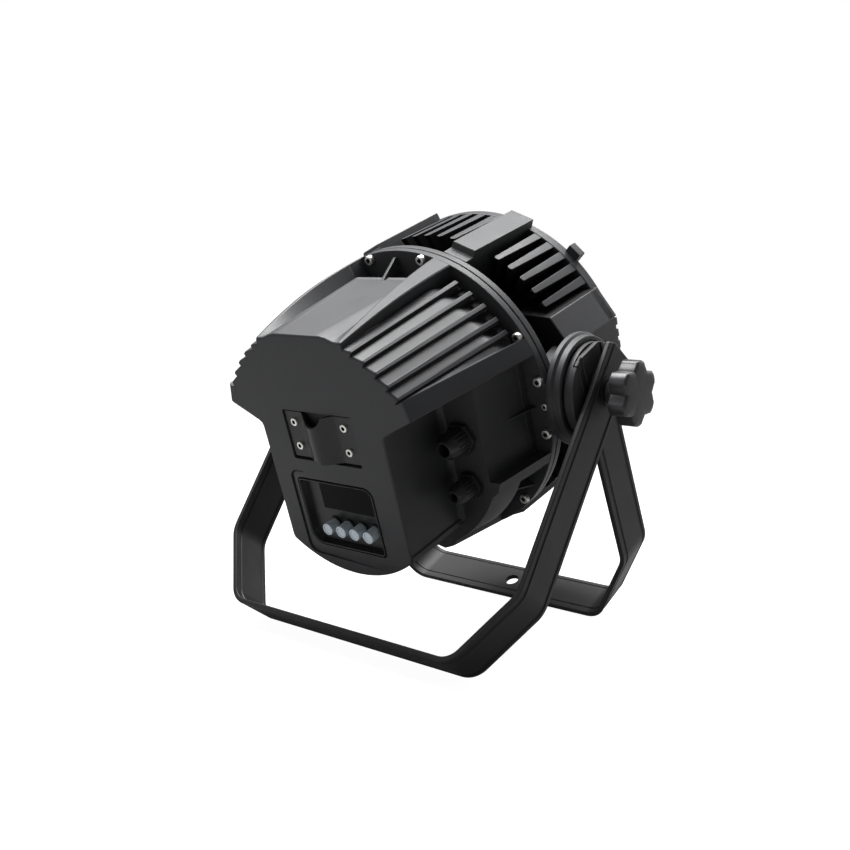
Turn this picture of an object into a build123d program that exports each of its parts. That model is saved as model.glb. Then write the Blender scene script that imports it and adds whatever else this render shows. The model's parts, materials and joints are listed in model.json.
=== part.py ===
"""Weatherproof LED par can: finned die-cast head on a double folding yoke.

Units are millimetres.  +X is the side carrying the right-hand clamp knob,
+Y is the horizontal direction the light is thrown in, +Z is up.
The head is drawn level in its own frame (beam along +Y, pivot axis at the
origin), then tilted about the pivot axis and lifted onto the yoke.
"""
import os
from math import atan2, cos, pi, radians, sin, sqrt, tan

from build123d import *

os.makedirs("parts", exist_ok=True)

# ---------------------------------------------------------------- driving sizes
pivot_h = 211.6          # pivot axis above the floor
tilt = 19.6              # beam above the horizon at rest
y_shift = 32.29          # moves the assembly so its box is centred on the origin

# yoke bars
bar_w = 40.2             # bar width
bar_t = 4.3              # bar thickness
arm_top_r = 38.0         # rounded arm ends, about the pivot
outer_half = 154.8       # outer bracket, half width over the arms
outer_foot_half = 117.0  # half width at the foot
outer_bend_s = 177.6     # distance down the arm to the knee
outer_lean = 32.5        # degrees towards -Y
inner_half = 146.9
inner_foot_half = 105.0
inner_bend_s = 155.0
inner_lean = 26.7        # degrees towards +Y
bend_r = 9.0             # inside bend radius
hang_hole_r = 6.5        # clamp bolt hole in the foot bar of the inner bracket

# pivot stack on each side (distances from the centre plane)
cheek_x = 127.5          # flat cheek of the front housing
boss_r = 45.0
boss_x = 137.6           # end face of the round boss
disc_x0, disc_x1 = 138.2, 142.2
disc_r = 37.6
hub_r = 11.0
stud_r = 5.0
washer_x1 = 156.4
knob_neck_x0, knob_body_x0, knob_x1 = 156.7, 167.2, 183.2
knob_r = 25.2
run = 0.05               # radial running clearance

# front housing
flange_r = 125.0
seam_y = -29.2
f_flange_y0, f_flange_y1 = -28.7, -22.0
r_flange_y0, r_flange_y1 = -36.0, -29.7
fin_tip_y, rim_y0, rim_y1 = 4.5, 66.0, 72.0
rim_r = 125.5
fin_r = 124.6
core_r, core_bore_r = 88.0, 82.0
cup_r, cup_bore_r = 109.0, 99.0
floor_y0, floor_y1 = 24.0, 38.0
glass_r, glass_y0, glass_y1 = 104.6, 66.8, 71.8
pad_r = 132.2
fin_pitch, fin_w = 6.15, 7.0
bezel_r, bezel_bore, bezel_y1 = 121.0, 98.0, 80.0

# rear housing
rear_y = -160.0
rear_r = 103.5
front_taper_r = 120.2    # taper radius where it meets the flange
wall = 5.0
chin_x = 64.0
eave_z = 40.0
step_y = -94.0
side_x0, side_x1 = 97.0, 105.0

screw_r_circle = 120.4
screw_angles = (13, 62, 80, 101, 135, 167)

# rear panel
disp = (-39.2, -80.2, 39.2, -21.6)        # display frame x0, z0, x1, z1
window = (-20.0, -47.5, 36.0, -24.5)
button_xs = (-13.4, 0.9, 15.2, 29.5)
button_z, button_r = -61.5, 5.2
bridge = (-35.2, -2.6, 35.2, 36.9)
bridge_screws_xz = [(-26.2, 27.8), (26.2, 27.8), (-26.2, 7.7), (26.2, 7.7)]

# cable glands on each side: x, z, hex across flats, cap radius, cable bore radius
glands = {"large": (81.0, -4.0, 24.0, 10.6, 5.2), "small": (81.0, -43.5, 20.0, 8.6, 3.6)}


# ---------------------------------------------------------------- helpers
def cyl_y(r, y0, y1, x=0.0, z=0.0):
    return Pos(x, (y0 + y1) / 2, z) * Rot(90, 0, 0) * Cylinder(r, abs(y1 - y0))


def cyl_x(r, x0, x1, y=0.0, z=0.0):
    return Pos((x0 + x1) / 2, y, z) * Rot(0, 90, 0) * Cylinder(r, abs(x1 - x0))


def box(x0, y0, z0, x1, y1, z1):
    return Pos((x0 + x1) / 2, (y0 + y1) / 2, (z0 + z1) / 2) * Box(
        abs(x1 - x0), abs(y1 - y0), abs(z1 - z0)
    )


def face_xz(pts, y):
    plane = Plane(origin=(0, y, 0), x_dir=(1, 0, 0), z_dir=(0, -1, 0))
    return plane * make_face(Polyline(*[(p[0], p[1]) for p in pts], close=True))


def prism_y(pts, y0, y1):
    """Prism of an X-Z outline running from y0 to y1 (y1 > y0)."""
    return extrude(face_xz(pts, y0), amount=y1 - y0, dir=(0, 1, 0))


def loft_y(pts0, y0, pts1, y1):
    return loft([face_xz(pts0, y0), face_xz(pts1, y1)], ruled=True)


def cone_y(r0, y0, r1, y1):
    plane = Plane(origin=(0, y0, 0), z_dir=(0, 1, 0))
    return plane * Cone(r0, r1, y1 - y0, align=(Align.CENTER, Align.CENTER, Align.MIN))


def polar(r, a):
    """Point at radius r, a degrees clockwise from the top, seen from behind."""
    return (r * sin(radians(a)), r * cos(radians(a)))


def in_head(shape):
    return Pos(0, y_shift, pivot_h) * Rot(tilt, 0, 0) * shape


def on_axis(shape):
    """Parts built about the pivot axis but standing level."""
    return Pos(0, y_shift, pivot_h) * shape


def save(name, shape):
    if isinstance(shape, (list, tuple)):
        shape = Compound(children=list(shape))
    export_step(shape, f"parts/{name}.step")


def solids_of(shape):
    return list(shape.solids())


# ---------------------------------------------------------------- yoke brackets
def bracket(half, foot_half, bend_s, lean, toward, pivot_hole_r, foot_hole_r=0):
    """U bracket hanging from the pivot; s runs down the arm from the pivot."""
    foot_s = (pivot_h - bar_w / 2 * sin(radians(lean))) / cos(radians(lean))
    outer = [
        (-half, 45), (-half, -bend_s), (-foot_half, -foot_s),
        (foot_half, -foot_s), (half, -bend_s), (half, 45),
    ]
    path = FilletPolyline(*outer, radius=bend_r + bar_t)
    # the inner path is the outer one moved in by the bar thickness
    k = bar_t
    ang = atan2(half - foot_half, foot_s - bend_s)
    m1 = k * tan(ang / 2)
    m2 = k * tan((pi / 2 - ang) / 2)
    inner = [
        (-half + k, 45), (-half + k, -bend_s + m1), (-foot_half + m2, -foot_s + k),
        (foot_half - m2, -foot_s + k), (half - k, -bend_s + m1), (half - k, 45),
    ]
    path_in = FilletPolyline(*inner, radius=bend_r)
    edges = list(path.edges()) + [Line((half, 45), (half - k, 45))]
    edges += list(path_in.edges()) + [Line((-half + k, 45), (-half, 45))]
    prof = make_face(Wire(edges))
    plane = Plane(origin=(0, -bar_w / 2, 0), x_dir=(1, 0, 0), z_dir=(0, -1, 0))
    bar = extrude(plane * prof, amount=bar_w, dir=(0, 1, 0))
    # round the tops of the arms about the pivot
    keep = cyl_x(arm_top_r, -half - 5, half + 5) + box(-half - 5, -bar_w, -400, half + 5, bar_w, 0)
    bar = bar & keep
    bar -= cyl_x(pivot_hole_r, half - k - 3, half + 3)
    bar -= cyl_x(pivot_hole_r, -half - 3, -half + k + 3)
    if foot_hole_r:
        bar -= Pos(0, 0, -foot_s + k / 2) * Cylinder(foot_hole_r, k + 6)
    # rotate: leaning towards -Y or +Y
    return Rot(toward * lean, 0, 0) * bar


outer_bracket = on_axis(
    bracket(outer_half, outer_foot_half, outer_bend_s, outer_lean, -1, stud_r + run)
)
inner_bracket = on_axis(
    bracket(inner_half, inner_foot_half, inner_bend_s, inner_lean, 1, hub_r + 0.3,
            hang_hole_r)
)
save("outer_bracket", outer_bracket)
save("inner_bracket", inner_bracket)


# ---------------------------------------------------------------- pivot stack
def mirror_x(shape):
    return mirror(shape, about=Plane.YZ)


# friction disc between head and inner arm: the arm end sits in a channel cut
# across the thick rim, so disc and inner bracket turn together
disc = cyl_x(disc_r, disc_x0, inner_half - 0.6)
channel = Rot(inner_lean, 0, 0) * box(disc_x1, -bar_w / 2 - 0.3, -60, 160, bar_w / 2 + 0.3, 60)
disc -= channel
disc += cyl_x(hub_r, disc_x1 - 1, inner_half + 0.4)
disc -= cyl_x(stud_r + run, disc_x0 - 1, outer_half)
spacer = cyl_x(17.0, inner_half + 0.5, outer_half - bar_t - 0.3) - cyl_x(stud_r + 0.3, 140, 160)
washer = cyl_x(12.0, outer_half + 0.05, washer_x1) - cyl_x(stud_r + 0.3, 150, 160)

stud = cyl_x(stud_r, 118.0, 176.0)

knob = cyl_x(9.5, knob_neck_x0, knob_body_x0 + 1)
lobes = cyl_x(knob_r - 5.2, knob_body_x0, knob_x1)
for i in range(6):
    a = radians(30 + 60 * i)
    lobes += cyl_x(7.4, knob_body_x0, knob_x1, (knob_r - 7.4) * cos(a), (knob_r - 7.4) * sin(a))
knob += lobes
insert = cyl_x(8.0, knob_neck_x0 + 0.2, 177.0) - cyl_x(stud_r + run, 150, 176.3)
knob -= cyl_x(8.0, knob_neck_x0 - 1, 177.0)

for side, f in (("right", lambda s: s), ("left", mirror_x)):
    save(f"pivot_disc_{side}", on_axis(f(disc)))
    save(f"arm_spacer_{side}", on_axis(f(spacer)))
    save(f"knob_washer_{side}", on_axis(f(washer)))
    save(f"knob_{side}", on_axis(f(knob)))
    save(f"knob_insert_{side}", on_axis(f(insert)))
    save(f"pivot_stud_{side}", in_head(f(stud)))

# ---------------------------------------------------------------- front housing
front = cyl_y(flange_r, f_flange_y0, f_flange_y1)
front += cyl_y(core_r, f_flange_y1 - 0.5, 32.0)
front += cone_y(core_r, 24.0, cup_r, 34.0)
front += cyl_y(cup_r, 33.5, rim_y1)
front += cyl_y(rim_r, rim_y0, rim_y1)
for centre in (0, 45, 135, 180, 225, 315):
    for k in range(-2, 3):
        a = centre + k * fin_pitch
        fin = box(-fin_w / 2, fin_tip_y, 78.0, fin_w / 2, rim_y0 + 1, fin_r)
        front += Rot(0, a, 0) * fin
for centre in (24.3, 155.7, 204.3, 335.7):
    w0, w1 = 8.6, 11.0
    pts_side = [(f_flange_y1 - 0.5, 80.0), (f_flange_y1 - 0.5, 127.0), (-16.5, pad_r - 0.7), (rim_y1, pad_r - 0.7), (rim_y1, 80.0)]
    plane = Plane(origin=(-w1, 0, 0), x_dir=(0, 1, 0), z_dir=(1, 0, 0))
    pad = extrude(plane * make_face(Polyline(*pts_side, close=True)), amount=2 * w1)
    front += Rot(0, centre, 0) * pad
cheek = [(80.0, 62.0), (112.9, 58.6), (cheek_x, 34.5), (cheek_x, -34.5), (112.9, -58.6), (80.0, -62.0)]
for s in (1, -1):
    front += prism_y([(s * x, z) for x, z in cheek], f_flange_y1 - 0.5, rim_y1)
    front += cyl_x(boss_r, s * (cheek_x - 20.0), s * boss_x)
front -= cyl_y(core_bore_r, f_flange_y0 - 1, floor_y0)
front -= cyl_y(cup_bore_r, floor_y1, rim_y1 + 1)
front -= cyl_y(glass_r + 0.4, 65.0, rim_y1 + 1)
front -= cyl_y(flange_r + 0.5, -60.0, f_flange_y0)
# weight-saving pockets behind the cheeks, open towards the seam
for s in (1, -1):
    front -= box(s * 70, f_flange_y0 - 1, -42, s * 112, 26.0, 42) & cyl_y(112.0, -60, 40)
for s in (1, -1):
    front -= cyl_x(stud_r + 0.02, s * 117.9, s * 140)
for a in screw_angles:
    for s in (1, -1):
        x, z = polar(screw_r_circle, s * a)
        front -= cyl_y(2.2, f_flange_y0 - 1, f_flange_y1 - 1.6, x, z)
front = in_head(front)
save("front_housing", front)

# seam gasket: thin ring between the two flanges
gasket = cyl_y(flange_r - 1.2, r_flange_y1 + 0.1, f_flange_y0 - 0.1) - cyl_y(114.0, -31, -27)
for a in screw_angles:
    for s in (1, -1):
        x, z = polar(screw_r_circle, s * a)
        gasket -= cyl_y(2.4, -31, -27, x, z)
save("seam_gasket", in_head(gasket))

# front ring, glass and its gasket
bezel = cyl_y(rim_r - 0.7, rim_y1 + 0.1, 75.0) + cone_y(rim_r - 0.7, 75.0, bezel_r, bezel_y1)
bezel -= cyl_y(bezel_bore, 70, 82)
bezel_holes = [22.5 + 45 * i for i in range(8)]
for a in bezel_holes:
    x, z = polar(114.5, a)
    bezel -= cyl_y(3.9, 77.0, 82, x, z)
    bezel -= cyl_y(2.2, 70, 82, x, z)
save("front_bezel", in_head(bezel))
save("front_glass", in_head(cyl_y(glass_r, glass_y0, glass_y1)))
save("glass_gasket", in_head(cyl_y(glass_r, 65.2, 66.7) - cyl_y(cup_bore_r + 0.4, 64, 68)))
bz = []
for a in bezel_holes:
    x, z = polar(114.5, a)
    scr = cyl_y(3.5, 77.2, 80.4, x, z) + cyl_y(2.0, 72.2, 77.3, x, z)
    scr -= cyl_y(1.5, 78.6, 81, x, z)
    bz += solids_of(in_head(scr))
save("bezel_screws", bz)

# accessory clips on the front ring
clips = []
for a in (47, 133, 227, 313):
    c = box(-7.5, 72.6, rim_r - 0.6, 7.5, 84.0, 134.5)
    clips += solids_of(in_head(Rot(0, a, 0) * c))
save("accessory_clips", clips)

# ---------------------------------------------------------------- optics
lens_xz = [polar(37.0, 60 * i + 30) for i in range(6)] + [polar(76.0, 30 * i + 15) for i in range(12)]
lens_plate = cyl_y(97.6, 56.0, 59.0)
lenses, leds = [], []
for x, z in lens_xz:
    lens_plate -= cyl_y(15.6, 55, 60, x, z)
    plane = Plane(origin=(x, 43.4, z), z_dir=(0, 1, 0))
    lens = plane * Cone(7.0, 15.0, 13.6, align=(Align.CENTER, Align.CENTER, Align.MIN))
    lens += cyl_y(15.3, 56.9, 60.4, x, z)
    lenses += solids_of(in_head(lens))
    leds += solids_of(in_head(box(x - 3.5, 40.1, z - 3.5, x + 3.5, 43.0, z + 3.5)))
save("lens_plate", in_head(lens_plate))
save("lenses", lenses)
save("led_board", in_head(cyl_y(97.0, floor_y1 + 0.1, 40.0)))
save("led_chips", leds)
posts = []
for i in range(6):
    x, z = polar(92.0, 60 * i)
    posts += solids_of(in_head(cyl_y(3.0, 40.1, 55.9, x, z)))
save("lens_posts", posts)


# ---------------------------------------------------------------- rear housing
def taper_r(y):
    return rear_r + (front_taper_r - rear_r) * (y - rear_y) / (r_flange_y0 - rear_y)


rear = cone_y(rear_r, rear_y, front_taper_r, r_flange_y0)
rear += cyl_y(flange_r, r_flange_y0 - 0.2, r_flange_y1)
# ridges each side of the smooth top panel and a matching pair underneath
for mz in (1, -1):
    for s in (1, -1):
        p0 = [polar(92, 22.0), polar(105.6, 24.0), polar(105.6, 26.2), polar(92, 29)]
        p1 = [polar(108, 15.5), polar(124.6, 17.8), polar(124.6, 25.4), polar(108, 30.0)]
        rear += loft_y([(s * x, mz * z) for x, z in p0], rear_y, [(s * x, mz * z) for x, z in p1], r_flange_y0 + 0.5)
# smooth top panel: a flat, gently rising cut between the ridges
panel_pts = [(rear_y - 2, 100.3), (-57.0, 107.0), (-36.2, 108.0), (-36.2, 140.0), (rear_y - 2, 140.0)]
pl = Plane(origin=(-60.0, 0, 0), x_dir=(0, 1, 0), z_dir=(1, 0, 0))
panel_cut = extrude(pl * make_face(Polyline(*panel_pts, close=True)), amount=120.0)
panel_zone = loft_y([(-43.5, 90), (43.5, 90), (43.5, 150), (-43.5, 150)], rear_y - 1, [(-36.5, 90), (36.5, 90), (36.5, 150), (-36.5, 150)], -36.2)
rear -= panel_cut & panel_zone
# centre gusset on the panel
pl2 = Plane(origin=(-1.8, 0, 0), x_dir=(0, 1, 0), z_dir=(1, 0, 0))
rear += extrude(pl2 * make_face(Polyline((-36.2, 104), (-36.2, 119.5), (-58.0, 106.5), (-58.0, 104), close=True)), amount=3.6)
# groove between the shoulder fins and the flange
groove = cyl_y(flange_r + 3, -42.0, r_flange_y0) - cyl_y(113.5, -45, -30)
for s in (1, -1):
    rear -= groove & prism_y([(0, 0), (s * 150 * sin(radians(30.5)), 150 * cos(radians(30.5))), (s * 200, 140), (s * 150 * sin(radians(66)), 150 * cos(radians(66)))], -43, -35)
# shadow lines between the shoulder fins
for a in (31.5, 38.3, 45.3, 52.3, 58.8):
    for s in (1, -1):
        zc = cone_y(rear_r + 12, rear_y - 1, front_taper_r + 12, r_flange_y0 - 6) - cone_y(rear_r - 3.4, rear_y - 1.5, front_taper_r - 3.4, r_flange_y0 - 5.5)
        rear -= zc & (Rot(0, s * a, 0) * box(-1.1, rear_y - 2, 80, 1.1, -42.2, 140))
# gland pocket beside the chin, and the shallow side pocket ahead of it
for s in (1, -1):
    rear -= prism_y([(s * chin_x, 24.5), (s * (chin_x + 31.5), eave_z), (s * 150, eave_z), (s * 150, -150), (s * chin_x, -150)], rear_y - 1, step_y) 
    side = [(side_x0, step_y - 0.5), (side_x1, r_flange_y0 - 0.3), (150, r_flange_y0 - 0.3), (150, step_y - 0.5)]
    side_face = Plane(origin=(0, 0, -eave_z), x_dir=(1, 0, 0), z_dir=(0, 0, 1)) * make_face(Polyline(*[(s * x, y) for x, y in side], close=True))
    rear -= extrude(side_face, amount=2 * eave_z, dir=(0, 0, 1))
    # lower screw pockets
    for a0, a1 in ((118, 150),):
        pts = [polar(110, s * a0), polar(160, s * a0), polar(170, s * (a0 + a1) / 2), polar(160, s * a1), polar(110, s * a1)]
        rear -= loft_y([(x, z) for x, z in pts], -70.0, [(x, z) for x, z in pts], r_flange_y0 - 0.2)
# bottom screw pocket
rear -= prism_y([(-36, -113), (36, -113), (45, -160), (-45, -160)], -62.0, r_flange_y0 - 0.2)
# screw seats beside the eave
for s in (1, -1):
    x, z = polar(screw_r_circle, s * 62)
    rear -= cyl_y(5.2, -62.0, r_flange_y0 - 0.2, x, z)

# inside of the rear housing
cavity = cone_y(rear_r - wall - 1.5, rear_y + wall, 106.0, -35.0) + cyl_y(106.0, -36.0, -28.0)
cavity -= box(-60, -165, 95.0, 60, -57, 140)
for s in (1, -1):
    cavity -= box(s * (chin_x - wall), -170, -150, s * 150, step_y + wall, eave_z + wall)
    cavity -= box(s * (side_x0 - wall), step_y - 1, -eave_z - wall, s * 150, -40.0, eave_z + wall)
# keep material behind the recesses of the rear panel
cavity -= box(-44, -170, -88, 44, -152.0, 41)
rear -= cavity
for s in (1, -1):
    x, z = polar(screw_r_circle, s * 90)
    rear -= cyl_y(4.0, -52.0, r_flange_y0 - 0.2, x, z)
# recess for the safety cable bridge and for the display
bx0, bz0, bx1, bz1 = bridge
rear -= box(bx0 - 0.4, rear_y - 1, bz0 - 0.4, bx1 + 0.4, rear_y + 4.5, bz1 + 0.4)
dx0, dz0, dx1, dz1 = disp
rear -= box(dx0 - 0.4, rear_y - 1, dz0 - 0.4, dx1 + 0.4, rear_y + 4.0, dz1 + 0.4)
rear -= box(window[0] - 3, rear_y - 1, window[1] - 3, window[2] + 2, rear_y + 10.0, window[3] + 2)
for x in button_xs:
    rear -= cyl_y(button_r + 1.6, rear_y - 1, rear_y + 10.0, x, button_z)
# screw holes, gland holes
for a in screw_angles:
    for s in (1, -1):
        x, z = polar(screw_r_circle, s * a)
        rear -= cyl_y(2.2, -40.0, r_flange_y1 + 1, x, z)
        rear -= cyl_y(4.5, -52.0, r_flange_y0 - 0.2, x, z)
for x, z in bridge_screws_xz:
    rear -= cyl_y(1.9, rear_y, rear_y + 7.0, x, z)
for gx, gz, af, cap_r, bore_r in glands.values():
    for s in (1, -1):
        rear -= cyl_y(bore_r + 2.6, step_y - 1, step_y + wall + 1, s * gx, gz)
rear = in_head(rear)
rs = sorted(rear.solids(), key=lambda q: -q.volume)
save("rear_housing", rs[0])

# housing screws, socket heads standing on the rear flange
scr_all = []
for a in screw_angles:
    for s in (1, -1):
        x, z = polar(screw_r_circle, s * a)
        scr = cyl_y(3.5, -40.4, r_flange_y0 - 0.25, x, z) + cyl_y(2.0, -36.2, -24.2, x, z)
        scr -= cyl_y(1.6, -41, -38.4, x, z)
        scr_all += solids_of(in_head(scr))
for s in (1, -1):
    x, z = polar(screw_r_circle, s * 90)
    scr = cyl_y(2.9, -38.8, r_flange_y0 - 0.25, x, z)
    scr -= cyl_y(1.3, -41, -37.4, x, z)
    scr_all += solids_of(in_head(scr))
save("housing_screws", scr_all)

# ---------------------------------------------------------------- rear panel
frame_plate = box(dx0, rear_y + 0.6, dz0, dx1, rear_y + 3.8, dz1)
frame_plate += box(dx0 + 1.2, rear_y - 0.6, dz0 + 1.2, dx1 - 1.2, rear_y + 1, dz1 - 1.2)
frame_plate -= box(dx0 + 2.4, rear_y - 1, dz0 + 2.4, dx1 - 2.4, rear_y + 0.8, dz1 - 2.4)
frame_plate -= box(window[0], rear_y - 2, window[1], window[2] - 0.6, rear_y + 5, window[3] - 0.6)
for x in button_xs:
    frame_plate -= cyl_y(button_r + 0.4, rear_y - 2, rear_y + 5, x, button_z)
save("display_frame", in_head(frame_plate))
win = box(window[0] + 0.2, rear_y + 0.4, window[1] + 0.2, window[2] - 0.8, rear_y + 2.4, window[3] - 0.8)
save("display_window", in_head(win))
mod = box(window[0] + 0.5, rear_y + 2.6, window[1] + 0.5, window[2] - 1.1, rear_y + 11.3, window[3] - 1.1)
save("display_module", in_head(mod))
board = box(-42.0, -148.6, -86.0, 42.0, -147.0, -18.0)
save("control_board", in_head(board))
for i, x in enumerate(button_xs, 1):
    b = cyl_y(button_r, rear_y - 6.0, rear_y + 3.2, x, button_z)
    b += cyl_y(button_r + 1.2, rear_y + 4.2, rear_y + 6.2, x, button_z)
    b += cyl_y(2.2, rear_y + 3.0, rear_y + 6.4, x, button_z)
    save(f"button_{i}", in_head(b))
switches = []
for x in button_xs:
    switches += solids_of(in_head(box(x - 3, -152.1, button_z - 3, x + 3, -148.7, button_z + 3)))
save("button_switches", switches)
bp = []
for x, z in ((-38, -22), (38, -22), (-38, -82), (38, -82)):
    bp += solids_of(in_head(cyl_y(2.5, -151.9, -148.7, x, z)))
save("board_standoffs", bp)

# safety cable bridge: two lugs and a raised half-round loop over the cable way
lugs = box(bx0, rear_y + 1.4, bz0, bx1, rear_y + 4.3, bz1)
loop = Pos(0, rear_y + 2.0, (bz0 + bz1) / 2) * Cylinder(16.0, bz1 - bz0) - Pos(0, rear_y + 2.0, (bz0 + bz1) / 2) * Cylinder(12.4, bz1 - bz0 + 2)
loop = loop & box(-20, rear_y - 20, bz0 - 1, 20, rear_y + 2.2, bz1 + 1)
loop = Pos(0, (rear_y + 2.0) * (1 - 0.75), 0) * scale(loop, (1, 0.75, 1))
br = lugs + loop
br -= box(-12.4, rear_y - 2, bz0 - 1, 12.4, rear_y + 6, bz1 + 1) & box(-12.2, rear_y + 1.0, bz0 - 1, 12.2, rear_y + 6, bz1 + 1)
# U notch in the upper edge of the loop
br -= Pos(0, rear_y - 12, bz1) * Rot(90, 0, 0) * Cylinder(8.0, 30)
for x, z in bridge_screws_xz:
    br -= cyl_y(2.1, rear_y - 2, rear_y + 6, x, z)
save("safety_bridge", in_head(br))
bs = []
for x, z in bridge_screws_xz:
    scr = cyl_y(3.4, rear_y - 2.6, rear_y + 1.3, x, z) + cyl_y(1.8, rear_y + 1, rear_y + 6.8, x, z)
    scr -= cyl_y(1.6, rear_y - 3, rear_y - 1.0, x, z)
    bs += solids_of(in_head(scr))
save("bridge_screws", bs)

# ---------------------------------------------------------------- cable glands
for side, s in (("right", 1), ("left", -1)):
    for size, (gx, gz, af, cap_r, bore_r) in glands.items():
        x = s * gx
        hexa = extrude(
            Plane(origin=(x, step_y - 0.1, gz), x_dir=(1, 0, 0), z_dir=(0, -1, 0))
            * RegularPolygon(af / sqrt(3), 6), amount=5.0, dir=(0, -1, 0))
        body = hexa + cyl_y(bore_r + 2.4, step_y - 0.2, step_y + wall + 6.0, x, gz)
        body += cyl_y(cap_r - 2.2, step_y - 12.0, step_y - 4.0, x, gz)
        body -= cyl_y(bore_r, step_y - 20, step_y + 20, x, gz)
        cap = cyl_y(cap_r, step_y - 17.0, step_y - 5.3, x, gz)
        cap += Plane(origin=(x, step_y - 17.0, gz), z_dir=(0, -1, 0)) * Cone(cap_r, cap_r - 3.4, 7.0, align=(Align.CENTER, Align.CENTER, Align.MIN))
        cap -= cyl_y(cap_r - 2.0, step_y - 12.4, step_y - 4.0, x, gz)
        cap -= cyl_y(bore_r, step_y - 30, step_y, x, gz)
        save(f"gland_{size}_{side}", in_head(body))
        save(f"gland_cap_{size}_{side}", in_head(cap))

# ---------------------------------------------------------------- power supply
psu = box(-50, -30.0, -34, 50, 17.8, 40)
save("power_supply", in_head(psu))
st = []
for x, z in ((-42, -26), (42, -26), (-42, 32), (42, 32)):
    st += solids_of(in_head(cyl_y(4.0, 17.9, 23.9, x, z)))
save("supply_standoffs", st)
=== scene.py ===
import bpy, bmesh, json, math
from math import sin, cos, tan, radians, degrees, pi, sqrt, atan2, hypot
from mathutils import Vector, Matrix
from mathutils.geometry import tessellate_polygon

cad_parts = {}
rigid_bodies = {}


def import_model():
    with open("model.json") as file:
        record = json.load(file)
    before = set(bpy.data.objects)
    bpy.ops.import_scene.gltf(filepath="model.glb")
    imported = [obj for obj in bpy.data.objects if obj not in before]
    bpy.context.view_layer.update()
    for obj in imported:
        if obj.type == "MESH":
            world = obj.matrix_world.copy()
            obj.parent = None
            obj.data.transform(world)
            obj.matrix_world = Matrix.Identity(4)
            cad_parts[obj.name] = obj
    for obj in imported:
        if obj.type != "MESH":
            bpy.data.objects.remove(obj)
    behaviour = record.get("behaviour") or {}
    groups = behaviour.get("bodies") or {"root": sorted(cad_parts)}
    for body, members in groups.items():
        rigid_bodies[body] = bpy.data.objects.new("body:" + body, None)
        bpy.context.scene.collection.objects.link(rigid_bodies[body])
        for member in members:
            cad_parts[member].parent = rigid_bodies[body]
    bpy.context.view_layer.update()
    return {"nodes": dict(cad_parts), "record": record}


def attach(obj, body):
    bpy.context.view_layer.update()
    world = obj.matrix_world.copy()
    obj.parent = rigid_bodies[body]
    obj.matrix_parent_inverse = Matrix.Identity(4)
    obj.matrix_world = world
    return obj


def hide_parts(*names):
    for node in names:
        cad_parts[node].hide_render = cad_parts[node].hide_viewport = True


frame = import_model()
NODES = frame["nodes"]

# ------------------------------------------------------------------ frames
MM = 0.001
H, YS, TILT = 211.6, 32.29, radians(19.6)
HEAD = Matrix.Scale(MM, 4) @ Matrix.Translation((0, YS, H)) @ Matrix.Rotation(TILT, 4, "X")
AXIS = Matrix.Scale(MM, 4) @ Matrix.Translation((0, YS, H))


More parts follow.
